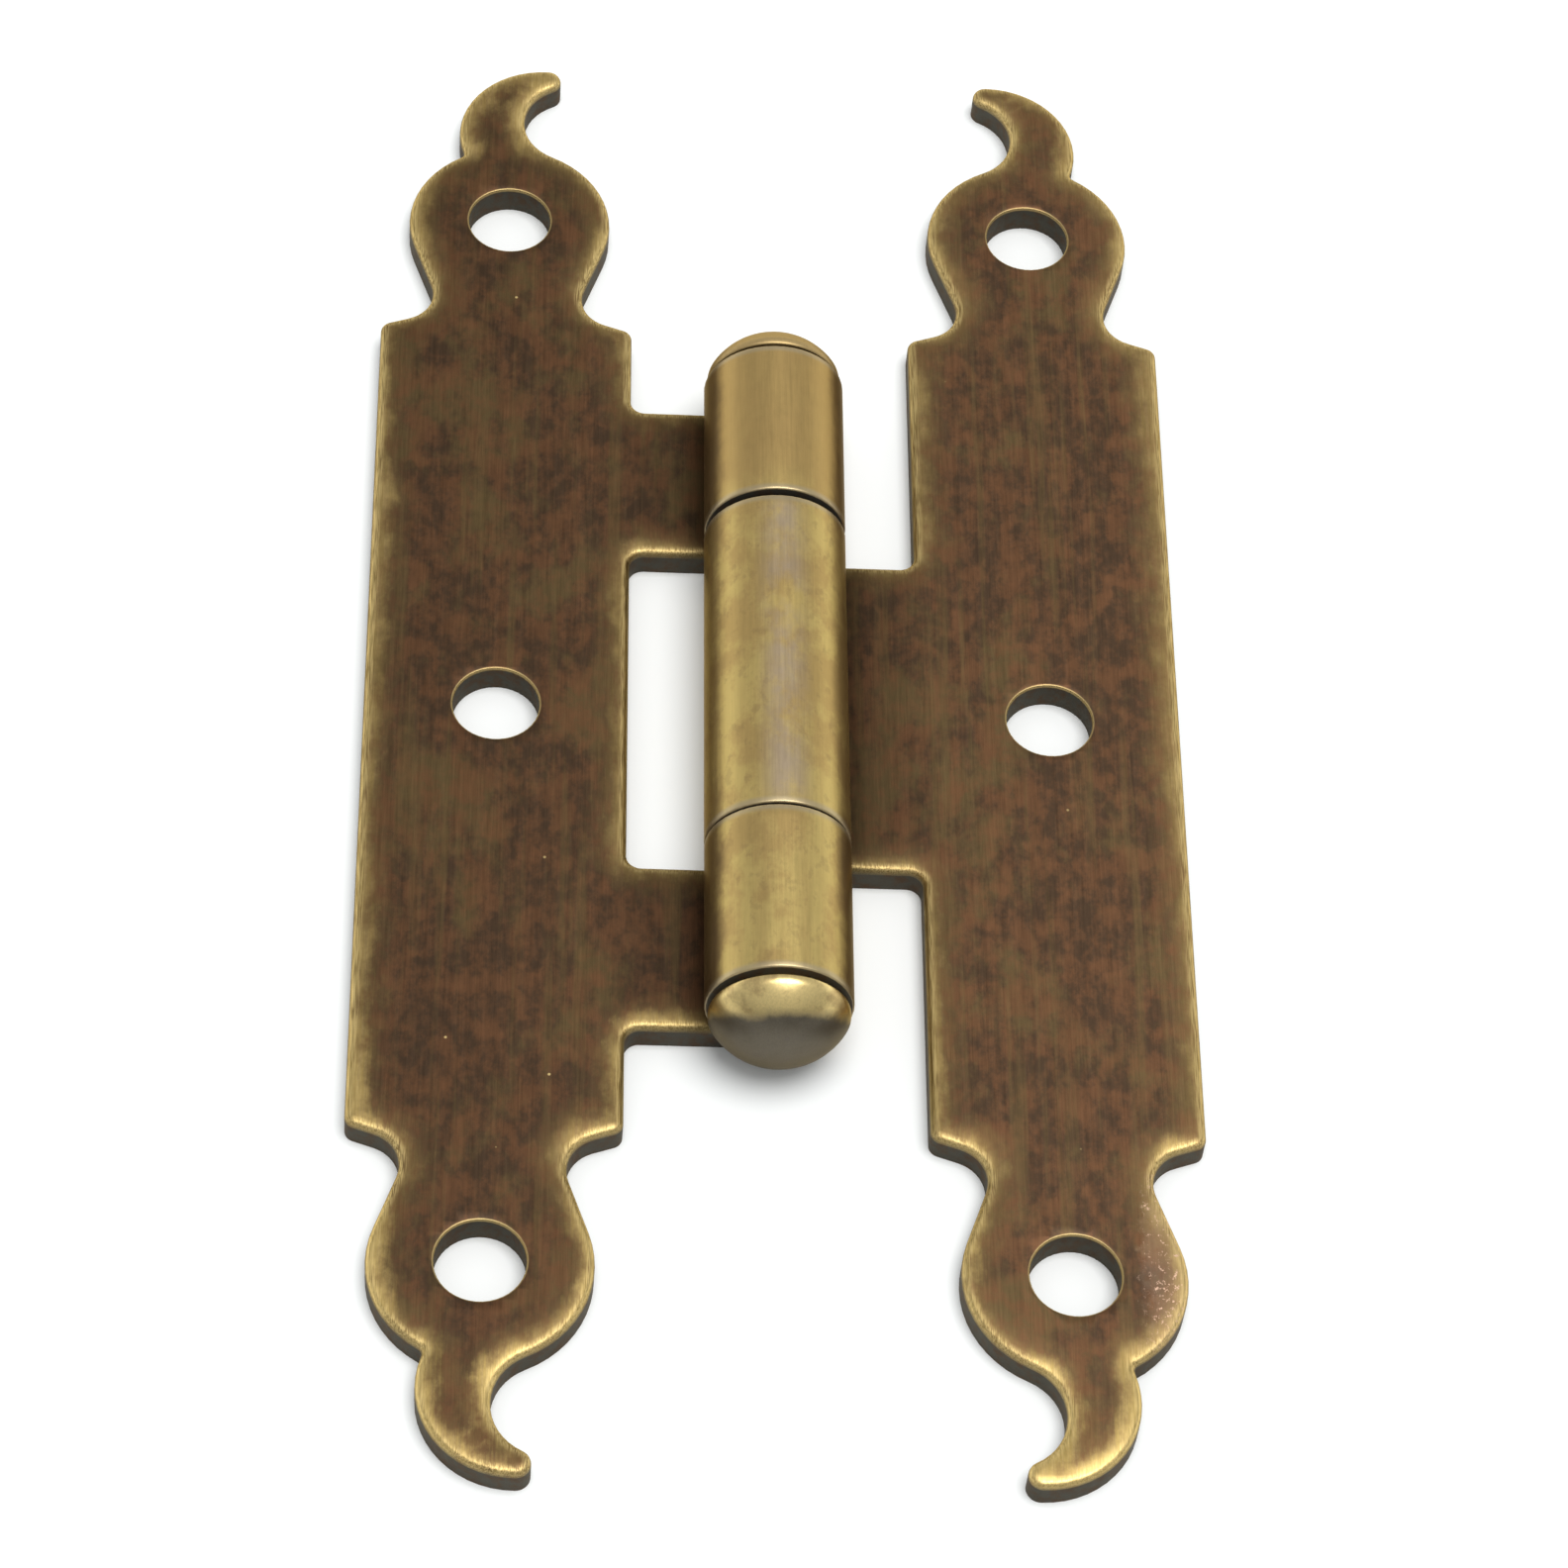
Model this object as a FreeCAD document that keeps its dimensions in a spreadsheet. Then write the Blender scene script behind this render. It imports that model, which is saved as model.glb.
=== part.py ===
import FreeCAD, Part
import Sketcher
import math
import os
import re

# Surface-mount H hinge, in millimetres. The mounting plane is z = 0 and the front faces look along +Z.
# The pin axis runs along Y above the origin. The right leaf lies at +X, the left leaf at -X.

SIZES = [
    ("sheet_thickness", 1.5),
    ("pin_diameter", 3.5),
    ("pin_clearance", 0.05),     # radial, pin to knuckle bore
    ("seam_slit", 0.12),         # between the end of a curl and the front of its own tab
    ("plate_width", 12.1),
    ("hole_line", 12.75),        # pin axis to the screw holes, which lie on the plate's centreline
    ("hole_pitch", 29.5),
    ("hole_diameter", 4.0),
    ("shoulder_drop", 6.8),      # end hole back to the outer corners of the plate
    ("corner_radius", 0.55),
    ("neck_drop", 4.75),         # end hole back to the neck
    ("neck_half", 3.62),         # half the neck's width
    ("cove_radius", 1.7),
    ("lobe_radius", 4.9),        # round pad about each end hole
    ("hook_reach", 10.2),        # end hole to the top of the hook
    ("hook_back", 2.6),          # centreline to the back of the hook
    ("hook_waist", 3.2),         # the hook's narrowest width
    ("hook_outer", 4.25),
    ("hook_inner", 2.5),
    ("hook_tip", 0.65),
    ("notch_radius", 0.3),       # between the back of the hook and the lobe
    ("root_share", 0.7),         # of the knuckle's radius, where the flat tab gives way to the curl
    ("middle_knuckle", 17.4),
    ("outer_knuckle", 8.65),
    ("upper_play", 0.35),        # gap between the upper and the middle knuckle
    ("lower_play", 0.1),         # gap between the middle and the lower knuckle
    ("tab_fillet", 0.7),         # inner corners between tab and plate
    ("front_rounding", 0.45),    # rolled-over front edges of the stamping
    ("cap_setback", 0.15),       # the cap is this much smaller in radius than the knuckle
    ("cap_wall", 0.9),           # radial wall of the cap's neck about the pin
    ("cap_neck", 0.35),          # length of the neck that parts the cap from the knuckle
    ("cap_land", 0.25),          # straight side under the dome
    ("cap_dome", 1.95),
    ("cap_seat", 1.2),           # depth of the pin's end in the cap
    ("pin_chamfer", 0.3),
]
DERIVED = [
    ("pin_radius", "pin_diameter / 2"),
    ("bore_radius", "pin_radius + pin_clearance"),
    ("knuckle_radius", "bore_radius + sheet_thickness"),
    ("inner_edge", "hole_line - plate_width / 2"),
    ("outer_edge", "hole_line + plate_width / 2"),
    ("shoulder", "hole_pitch - shoulder_drop"),
    ("middle_end", "middle_knuckle / 2"),
    ("upper_start", "middle_end + upper_play"),
    ("upper_end", "upper_start + outer_knuckle"),
    ("lower_start", "middle_end + lower_play"),
    ("lower_end", "lower_start + outer_knuckle"),
    ("tab_root", "knuckle_radius * root_share"),
    ("cap_radius", "knuckle_radius - cap_setback"),
    ("cap_neck_radius", "pin_radius + cap_wall"),
]

HOLE_PLACES = (-1, 0, 1)      # along each leaf, in hole pitches
SAME_LENGTH = 1e-4
SAME_VOLUME = 0.01

doc = FreeCAD.newDocument("SurfaceHinge")
sheet = doc.addObject("Spreadsheet::Sheet", "Sizes")
ALIASES = [alias for alias, _ in SIZES + DERIVED]
for row, (alias, value) in enumerate(SIZES + DERIVED, start=1):
    sheet.set("A%d" % row, alias)
    sheet.set("B%d" % row, "=" + value if isinstance(value, str) else str(value))
    sheet.setAlias("B%d" % row, alias)
doc.recompute()


def size(alias):
    return float(sheet.get(alias))


def sized(formula):
    # turns each alias in a formula into a reference to the sheet
    return re.sub(r"[a-z_]+", lambda word: "Sizes." + word[0] if word[0] in ALIASES else word[0], formula)


def flat(x, y):
    return FreeCAD.Vector(x, y, 0)


# --- sketches and bodies ---

def origin_plane(body, role):
    return next(item for item in body.Origin.OriginFeatures if item.Role == role)


def new_body(label):
    body = doc.addObject("PartDesign::Body", label)
    body.Label = label
    return body


def new_sketch(body, name, role):
    sketch = body.newObject("Sketcher::SketchObject", name)
    sketch.AttachmentSupport = [(origin_plane(body, role), "")]
    sketch.MapMode = "FlatFace"
    return sketch


def arc_between(centre, start, end):
    # counter-clockwise from start to end
    first = math.atan2(start.y - centre.y, start.x - centre.x)
    last = math.atan2(end.y - centre.y, end.x - centre.x)
    while last <= first:
        last += 2 * math.pi
    circle = Part.Circle(centre, FreeCAD.Vector(0, 0, 1), (start - centre).Length)
    return Part.ArcOfCircle(circle, first, last)


def draw_outline(sketch, start, moves):
    # a closed outline; each move is its end point, its arc's centre or None, its turn, and how it joins
    # the move before it
    here = start
    ends = []
    for end, centre, turn, _ in moves:
        if centre is None:
            ends.append((sketch.addGeometry(Part.LineSegment(here, end)), 1, 2))
        elif turn > 0:
            ends.append((sketch.addGeometry(arc_between(centre, here, end)), 1, 2))
        else:
            ends.append((sketch.addGeometry(arc_between(centre, end, here)), 2, 1))
        here = end
    for index, move in enumerate(moves):
        before, _, last = ends[index - 1]
        after, first, _ = ends[index]
        sketch.addConstraint(Sketcher.Constraint(move[3], before, last, after, first))


def bind(sketch, kind, where, formula):
    # a dimension that follows the sheet
    expression = sized(formula)
    value = float(sketch.evalExpression(expression))
    index = sketch.addConstraint(Sketcher.Constraint(kind, *where, value))
    sketch.setExpression("Constraints[%d]" % index, expression)


def new_pad(body, sketch, name, formula):
    pad = body.newObject("PartDesign::Pad", name)
    pad.Profile = sketch
    pad.setExpression("Length", sized(formula))
    body.Tip = pad
    return pad


def round_edges(body, base, name, alias, chosen):
    doc.recompute()
    names = ["Edge%d" % (i + 1) for i, edge in enumerate(base.Shape.Edges) if chosen(edge)]
    fillet = body.newObject("PartDesign::Fillet", name)
    fillet.Base = (base, names)
    fillet.setExpression("Radius", sized(alias))
    body.Tip = fillet
    return fillet


# --- outline of a leaf ---

def circles_meet(first, first_radius, second, second_radius, side):
    # the crossing of two circles that lies to the left (side +1) or right (-1) of the way first to second
    apart = second - first
    along = (first_radius ** 2 - second_radius ** 2 + apart.Length ** 2) / (2 * apart.Length)
    across = math.sqrt(first_radius ** 2 - along ** 2)
    way = FreeCAD.Vector(apart).normalize()
    return first + way * along + flat(-way.y, way.x) * across * side


def tangent_from(point, centre, radius, side):
    # where a straight line from the point touches the circle
    apart = centre - point
    reach = math.sqrt(apart.Length ** 2 - radius ** 2)
    return circles_meet(point, reach, centre, radius, side)


def crossed_tangent(first, first_radius, second, second_radius, side):
    # the two touch points of the line that passes between two circles
    apart = second - first
    turn = side * math.acos((first_radius + second_radius) / apart.Length)
    angle = math.atan2(apart.y, apart.x) + turn
    way = flat(math.cos(angle), math.sin(angle))
    return first + way * first_radius, second - way * second_radius


def end_outline(body, side):
    # half a leaf, from mid length to the tip of its hook; the hook points at the pin
    sketch = new_sketch(body, "Outline", "XY_Plane")

    def place(inward, outward):
        # inward from the centreline towards the pin, outward from the end hole
        return flat(side * (size("hole_line") - inward), size("hole_pitch") + outward)

    lobe, lobe_radius = place(0, 0), size("lobe_radius")
    cove_radius, bite_radius, tip_radius = size("cove_radius"), size("hook_inner"), size("hook_tip")
    hook_radius = size("hook_outer")
    hook = place(hook_radius - size("hook_back"), size("hook_reach") - hook_radius)
    bite_in = size("hook_waist") - size("hook_back") + bite_radius
    bite = place(bite_in, math.sqrt((lobe_radius + bite_radius) ** 2 - bite_in ** 2))
    tip = circles_meet(hook, hook_radius - tip_radius, bite, bite_radius + tip_radius, -side)
    notch = circles_meet(lobe, lobe_radius, hook, hook_radius, -side)

    def flank(toward):
        # corner, shoulder and neck on one side of the centreline, +1 being the pin's side
        corner = place(toward * size("plate_width") / 2, -size("shoulder_drop"))
        cove = place(toward * (size("neck_half") + cove_radius), -size("neck_drop"))
        foot = tangent_from(corner, cove, cove_radius, -toward * side)
        on_lobe, on_cove = crossed_tangent(lobe, lobe_radius, cove, cove_radius, -toward * side)
        return corner, cove, foot, on_cove, on_lobe

    start = flat(side * size("inner_edge"), 0)
    near_corner, near_cove, near_foot, near_neck, near_lobe = flank(1)
    far_corner, far_cove, far_foot, far_neck, far_lobe = flank(-1)
    draw_outline(sketch, start, [
        (near_corner, None, 0, "Coincident"),
        (near_foot, None, 0, "Coincident"),
        (near_neck, near_cove, side, "Tangent"),
        (near_lobe, None, 0, "Tangent"),
        (lobe + (bite - lobe).normalize() * lobe_radius, lobe, -side, "Tangent"),
        (bite + (tip - bite).normalize() * bite_radius, bite, side, "Tangent"),
        (hook + (tip - hook).normalize() * hook_radius, tip, -side, "Tangent"),
        (notch, hook, -side, "Tangent"),
        (far_lobe, lobe, -side, "Coincident"),
        (far_neck, None, 0, "Tangent"),
        (far_foot, far_cove, side, "Tangent"),
        (far_corner, None, 0, "Tangent"),
        (flat(side * size("outer_edge"), 0), None, 0, "Coincident"),
        (start, None, 0, "Coincident"),
    ])
    near_side, near_arc, near_round, bite_arc, tip_arc, hook_arc, far_round, far_arc, far_side, base = (
        0, 2, 4, 5, 6, 7, 8, 10, 12, 13)
    for line in (near_side, far_side):
        sketch.addConstraint(Sketcher.Constraint("Vertical", line))
        bind(sketch, "DistanceY", (line, 2 if line == near_side else 1), "shoulder")
    sketch.addConstraint(Sketcher.Constraint("Horizontal", base))
    sketch.addConstraint(Sketcher.Constraint("PointOnObject", near_side, 1, -1))
    bind(sketch, "DistanceX", (near_side, 1), "%d * inner_edge" % side)
    bind(sketch, "DistanceX", (far_side, 2), "%d * outer_edge" % side)
    for cove_arc, sign in ((near_arc, "-"), (far_arc, "+")):
        bind(sketch, "Radius", (cove_arc,), "cove_radius")
        bind(sketch, "DistanceX", (cove_arc, 3),
             "%d * (hole_line %s (neck_half + cove_radius))" % (side, sign))
        bind(sketch, "DistanceY", (cove_arc, 3), "hole_pitch - neck_drop")
    bind(sketch, "Radius", (near_round,), "lobe_radius")
    bind(sketch, "DistanceX", (near_round, 3), "%d * hole_line" % side)
    bind(sketch, "DistanceY", (near_round, 3), "hole_pitch")
    sketch.addConstraint(Sketcher.Constraint("Coincident", near_round, 3, far_round, 3))
    sketch.addConstraint(Sketcher.Constraint("Equal", near_round, far_round))
    bind(sketch, "Radius", (hook_arc,), "hook_outer")
    bind(sketch, "DistanceX", (hook_arc, 3), "%d * (hole_line - hook_outer + hook_back)" % side)
    bind(sketch, "DistanceY", (hook_arc, 3), "hole_pitch + hook_reach - hook_outer")
    bind(sketch, "Radius", (bite_arc,), "hook_inner")
    bind(sketch, "DistanceX", (bite_arc, 3),
         "%d * (hole_line - hook_waist + hook_back - hook_inner)" % side)
    bind(sketch, "Radius", (tip_arc,), "hook_tip")
    return sketch


def tab_outline(body, side, name, low, high):
    # the flat strip from the plate to the root of its curl, between two places along the pin
    sketch = new_sketch(body, name, "XY_Plane")
    root, plate = side * size("tab_root") / 2, side * size("hole_line")
    bottom, top = float(sketch.evalExpression(sized(low))), float(sketch.evalExpression(sized(high)))
    draw_outline(sketch, flat(root, bottom), [
        (flat(plate, bottom), None, 0, "Coincident"),
        (flat(plate, top), None, 0, "Coincident"),
        (flat(root, top), None, 0, "Coincident"),
        (flat(root, bottom), None, 0, "Coincident"),
    ])
    for line, kind in enumerate(("Horizontal", "Vertical", "Horizontal", "Vertical")):
        sketch.addConstraint(Sketcher.Constraint(kind, line))
    bind(sketch, "DistanceX", (0, 1), "%d * tab_root / 2" % side)
    bind(sketch, "DistanceX", (0, 2), "%d * hole_line" % side)
    bind(sketch, "DistanceY", (0, 1), low)
    bind(sketch, "DistanceY", (1, 2), high)
    return sketch


def curl_outline(body, side, name, high):
    # the rolled end of a tab, seen along the pin: the sheet leaves the mounting plane tangentially,
    # turns over the pin and stops a slit above the front of its own tab
    sketch = new_sketch(body, name, "XZ_Plane")
    sketch.setExpression("AttachmentOffset.Base.z", sized("-(%s)" % high))
    sheet_thickness, outer, bore = size("sheet_thickness"), size("knuckle_radius"), size("bore_radius")
    centre = flat(0, outer)
    rise = (sheet_thickness + size("seam_slit") - outer) / outer
    way = flat(side * math.sqrt(1 - rise ** 2), rise)
    root = side * size("tab_root")
    draw_outline(sketch, flat(0, 0), [
        (centre + way * outer, centre, -side, "Tangent"),
        (centre + way * bore, None, 0, "Coincident"),
        (flat(0, sheet_thickness), centre, side, "Coincident"),
        (flat(root, sheet_thickness), None, 0, "Tangent"),
        (flat(root, 0), None, 0, "Coincident"),
        (flat(0, 0), None, 0, "Coincident"),
    ])
    outer_arc, lip, inner_arc, front, end, back = range(6)
    sketch.addConstraint(Sketcher.Constraint("Coincident", outer_arc, 3, inner_arc, 3))
    sketch.addConstraint(Sketcher.Constraint("PointOnObject", outer_arc, 3, -2))
    sketch.addConstraint(Sketcher.Constraint("PointOnObject", outer_arc, 3, lip))
    sketch.addConstraint(Sketcher.Constraint("Horizontal", front))
    sketch.addConstraint(Sketcher.Constraint("Vertical", end))
    sketch.addConstraint(Sketcher.Constraint("Horizontal", back))
    sketch.addConstraint(Sketcher.Constraint("PointOnObject", back, 1, -1))
    bind(sketch, "Radius", (outer_arc,), "knuckle_radius")
    bind(sketch, "DistanceY", (front, 2), "sheet_thickness")
    bind(sketch, "DistanceY", (lip, 1), "sheet_thickness + seam_slit")
    bind(sketch, "DistanceX", (front, 2), "%d * tab_root" % side)
    return sketch


def hole_outline(body, side):
    sketch = new_sketch(body, "ScrewHoles", "XY_Plane")
    for number, sign in enumerate(HOLE_PLACES):
        centre = flat(side * size("hole_line"), sign * size("hole_pitch"))
        sketch.addGeometry(Part.Circle(centre, FreeCAD.Vector(0, 0, 1), size("hole_diameter") / 2))
        bind(sketch, "Diameter", (number,), "hole_diameter")
        bind(sketch, "DistanceX", (number, 3), "%d * hole_line" % side)
        if sign:
            bind(sketch, "DistanceY", (number, 3), "%d * hole_pitch" % sign)
        else:
            sketch.addConstraint(Sketcher.Constraint("PointOnObject", number, 3, -1))
    return sketch


# --- leaves ---

def is_upright(edge):
    box = edge.BoundBox
    thin = box.XLength < SAME_LENGTH and box.YLength < SAME_LENGTH
    return thin and box.ZLength > size("sheet_thickness") / 2


def new_leaf(label, side, knuckles):
    # knuckles: a name, its lower and its upper end along the pin
    body = new_body(label)
    half = new_pad(body, end_outline(body, side), "HalfBlank", "sheet_thickness")
    blank = body.newObject("PartDesign::Mirrored", "Blank")
    blank.Originals = [half]
    blank.MirrorPlane = (origin_plane(body, "XZ_Plane"), [""])
    body.Tip = tabbed = blank
    for name, low, high in knuckles:
        tabbed = new_pad(body, tab_outline(body, side, name + "TabOutline", low, high),
                         name + "Tab", "sheet_thickness")

    def at_corner(edge):
        x, y = abs(edge.CenterOfMass.x), abs(edge.CenterOfMass.y)
        across = abs(abs(x - size("hole_line")) - size("plate_width") / 2)
        return is_upright(edge) and across < SAME_LENGTH and abs(y - size("shoulder")) < SAME_LENGTH

    def at_tab(edge):
        x, y = abs(edge.CenterOfMass.x), abs(edge.CenterOfMass.y)
        short_of_corner = y < size("shoulder") - 2 * size("corner_radius")
        return is_upright(edge) and abs(x - size("inner_edge")) < SAME_LENGTH and short_of_corner

    def at_notch(edge):
        x, y = abs(edge.CenterOfMass.x), abs(edge.CenterOfMass.y)
        return is_upright(edge) and x > size("hole_line") and y > size("hole_pitch")

    def at_front(edge):
        box = edge.BoundBox
        at_root = box.XLength < SAME_LENGTH and abs(edge.CenterOfMass.x) < size("tab_root")
        on_front = abs(box.ZMin - size("sheet_thickness")) < SAME_LENGTH and box.ZLength < SAME_LENGTH
        return on_front and not at_root

    corners = round_edges(body, tabbed, "PlateCorners", "corner_radius", at_corner)
    crooks = round_edges(body, corners, "TabCorners", "tab_fillet", at_tab)
    notches = round_edges(body, crooks, "HookNotches", "notch_radius", at_notch)
    round_edges(body, notches, "RolledFront", "front_rounding", at_front)
    for name, low, high in knuckles:
        new_pad(body, curl_outline(body, side, name + "CurlOutline", high),
                name + "Knuckle", "(%s) - (%s)" % (high, low))
    doc.recompute()
    solid_volume = body.Shape.Volume
    holes = body.newObject("PartDesign::Pocket", "ScrewHoleCut")
    holes.Profile = hole_outline(body, side)
    holes.Type = "ThroughAll"
    holes.Reversed = True
    body.Tip = holes
    doc.recompute()
    drilled = len(HOLE_PLACES) * math.pi * (size("hole_diameter") / 2) ** 2 * size("sheet_thickness")
    if abs(solid_volume - body.Shape.Volume - drilled) > SAME_VOLUME:
        raise RuntimeError(label + ": the screw holes miss the sheet")
    return body


left_leaf = new_leaf("left_leaf", -1, [("Upper", "upper_start", "upper_end"),
                                       ("Lower", "-(lower_end)", "-(lower_start)")])
right_leaf = new_leaf("right_leaf", 1, [("Middle", "-(middle_end)", "middle_end")])


# --- pin and caps ---

def new_pin():
    body = new_body("hinge_pin")
    sketch = new_sketch(body, "PinSection", "XZ_Plane")
    sketch.setExpression("AttachmentOffset.Base.y", sized("knuckle_radius"))
    sketch.setExpression("AttachmentOffset.Base.z", sized("-(upper_end + cap_seat)"))
    sketch.addGeometry(Part.Circle(flat(0, 0), FreeCAD.Vector(0, 0, 1), size("pin_radius")))
    sketch.addConstraint(Sketcher.Constraint("Coincident", 0, 3, -1, 1))
    bind(sketch, "Diameter", (0,), "pin_diameter")
    shaft = new_pad(body, sketch, "Shaft", "upper_end + lower_end + 2 * cap_seat")
    doc.recompute()
    chamfer = body.newObject("PartDesign::Chamfer", "PinEnds")
    chamfer.Base = (shaft, ["Edge%d" % (i + 1) for i, edge in enumerate(shaft.Shape.Edges)
                            if edge.Closed and edge.BoundBox.YLength < SAME_LENGTH])
    chamfer.setExpression("Size", sized("pin_chamfer"))
    body.Tip = chamfer
    return body


def new_cap(label, seat, outward):
    # half the cap's section turned about the pin; seat is the knuckle end that it stands on
    body = new_body(label)
    sketch = new_sketch(body, "CapSection", "XY_Plane")
    sketch.setExpression("AttachmentOffset.Base.y", sized("%d * (%s)" % (outward, seat)))
    sketch.setExpression("AttachmentOffset.Base.z", sized("knuckle_radius"))
    neck, land = size("cap_neck"), size("cap_neck") + size("cap_land")
    top = land + size("cap_dome")
    bore, wide, depth = size("pin_radius"), size("cap_radius"), size("cap_seat")
    throat = size("cap_neck_radius")
    # the dome is an arc through the rim and the crown, with its centre on the axis
    crown_radius = (wide ** 2 + size("cap_dome") ** 2) / (2 * size("cap_dome"))
    centre = flat(0, outward * (top - crown_radius))

    def spot(radial, along):
        return flat(radial, outward * along)

    draw_outline(sketch, spot(bore, 0), [
        (spot(throat, 0), None, 0, "Coincident"),
        (spot(throat, neck), None, 0, "Coincident"),
        (spot(wide, neck), None, 0, "Coincident"),
        (spot(wide, land), None, 0, "Coincident"),
        (spot(0, top), centre, outward, "Coincident"),
        (spot(0, depth), None, 0, "Coincident"),
        (spot(bore, depth), None, 0, "Coincident"),
        (spot(bore, 0), None, 0, "Coincident"),
    ])
    face, groove, rim, land_line, dome, axis, bottom, wall = range(8)
    for line in (face, rim, bottom):
        sketch.addConstraint(Sketcher.Constraint("Horizontal", line))
    for line in (groove, land_line, axis, wall):
        sketch.addConstraint(Sketcher.Constraint("Vertical", line))
    sketch.addConstraint(Sketcher.Constraint("PointOnObject", face, 1, -1))
    sketch.addConstraint(Sketcher.Constraint("PointOnObject", axis, 1, -2))
    sketch.addConstraint(Sketcher.Constraint("PointOnObject", dome, 3, -2))
    bind(sketch, "DistanceX", (face, 1), "pin_radius")
    bind(sketch, "DistanceX", (face, 2), "cap_neck_radius")
    bind(sketch, "DistanceX", (rim, 2), "cap_radius")
    bind(sketch, "DistanceY", (groove, 2), "%d * cap_neck" % outward)
    bind(sketch, "DistanceY", (land_line, 2), "%d * (cap_neck + cap_land)" % outward)
    bind(sketch, "DistanceY", (axis, 1), "%d * (cap_neck + cap_land + cap_dome)" % outward)
    bind(sketch, "DistanceY", (axis, 2), "%d * cap_seat" % outward)
    turned = body.newObject("PartDesign::Revolution", "TurnedCap")
    turned.Profile = sketch
    turned.ReferenceAxis = (sketch, ["V_Axis"])
    turned.Angle = 360
    body.Tip = turned
    return body


new_pin()
new_cap("upper_cap", "upper_end", 1)
new_cap("lower_cap", "lower_end", -1)
doc.recompute()

for item in doc.Objects:
    if "Invalid" in item.State or "Error" in item.State:
        raise RuntimeError("%s failed: %s" % (item.Label, item.State))
    if item.TypeId == "Sketcher::SketchObject" and not item.FullyConstrained:
        raise RuntimeError("%s is not fully constrained" % item.Name)

os.makedirs("parts", exist_ok=True)
bodies = [item for item in doc.Objects if item.TypeId == "PartDesign::Body"]
for body in bodies:
    if body.Shape.isNull() or not body.Shape.isValid() or len(body.Shape.Solids) != 1:
        raise RuntimeError(body.Label + " is not one valid solid")
for body in bodies:
    body.Shape.exportStep("parts/%s.step" % body.Label)
    box = body.Shape.BoundBox
    print("%-12s volume %8.2f  x %.2f %.2f  y %.2f %.2f  z %.2f %.2f" % (
        body.Label, body.Shape.Volume, box.XMin, box.XMax, box.YMin, box.YMax, box.ZMin, box.ZMax))
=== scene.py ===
import math

import bmesh
import bpy
from mathutils import Matrix, Vector, noise
from mathutils.bvhtree import BVHTree


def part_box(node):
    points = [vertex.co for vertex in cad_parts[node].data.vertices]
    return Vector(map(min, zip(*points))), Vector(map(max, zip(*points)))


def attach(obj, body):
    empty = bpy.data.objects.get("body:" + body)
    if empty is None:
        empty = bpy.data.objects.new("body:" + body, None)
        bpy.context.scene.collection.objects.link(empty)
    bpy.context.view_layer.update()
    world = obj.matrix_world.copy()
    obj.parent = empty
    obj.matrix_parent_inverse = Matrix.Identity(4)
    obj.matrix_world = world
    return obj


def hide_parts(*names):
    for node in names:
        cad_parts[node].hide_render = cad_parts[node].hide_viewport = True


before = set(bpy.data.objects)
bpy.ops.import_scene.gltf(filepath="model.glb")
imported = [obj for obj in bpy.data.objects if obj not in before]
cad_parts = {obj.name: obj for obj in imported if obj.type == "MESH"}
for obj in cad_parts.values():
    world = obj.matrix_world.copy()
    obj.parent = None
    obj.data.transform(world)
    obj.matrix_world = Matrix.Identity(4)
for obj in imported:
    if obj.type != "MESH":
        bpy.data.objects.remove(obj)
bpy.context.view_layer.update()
mm = 0.001
tiny = 1e-6                        # metres, points nearer than this are one
onLine = 10 * tiny                 # near enough to lie on a wall or a rim
smoothAngle = math.radians(38)     # edges that turn less than this are shaded smooth

# places taken from the frame
pinLow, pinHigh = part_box("hinge_pin")
axisHeight = (pinLow.z + pinHigh.z) / 2
leafLow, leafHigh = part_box("right_leaf")
barrelRadius = -leafLow.x
holeLine = 12.75 * mm              # from the pin's axis to the middle of a leaf


# node tools

class Signal:
    # a socket that adds, multiplies and so on like a number
    def __init__(self, finish, socket):
        self.finish = finish
        self.socket = socket

    def math(self, operation, first, second=0.0):
        return self.finish.node("ShaderNodeMath", {"operation": operation}, {0: first, 1: second})

    def __add__(self, other):
        return self.math("ADD", self, other)

    def __sub__(self, other):
        return self.math("SUBTRACT", self, other)

    def __rsub__(self, other):
        return self.math("SUBTRACT", other, self)

    def __mul__(self, other):
        return self.math("MULTIPLY", self, other)

    def __truediv__(self, other):
        return self.math("DIVIDE", self, other)

    def __pow__(self, other):
        return self.math("POWER", self, other)

    __radd__ = __add__
    __rmul__ = __mul__

    def size(self):
        return self.math("ABSOLUTE", self)

    def atLeast(self, other):
        return self.math("MAXIMUM", self, other)

    def rising(self, low, high):
        # 0 below low and 1 above high, with a soft way between; low above high makes it fall
        falls = low > high
        return self.finish.node("ShaderNodeMapRange", {"interpolation_type": "SMOOTHSTEP"}, {
            "Value": self, "From Min": min(low, high), "From Max": max(low, high),
            "To Min": float(falls), "To Max": float(not falls)})

    def stain(self, low, high, strength):
        # the same, but no stronger than its strength
        return self.rising(low, high) * strength


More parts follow.
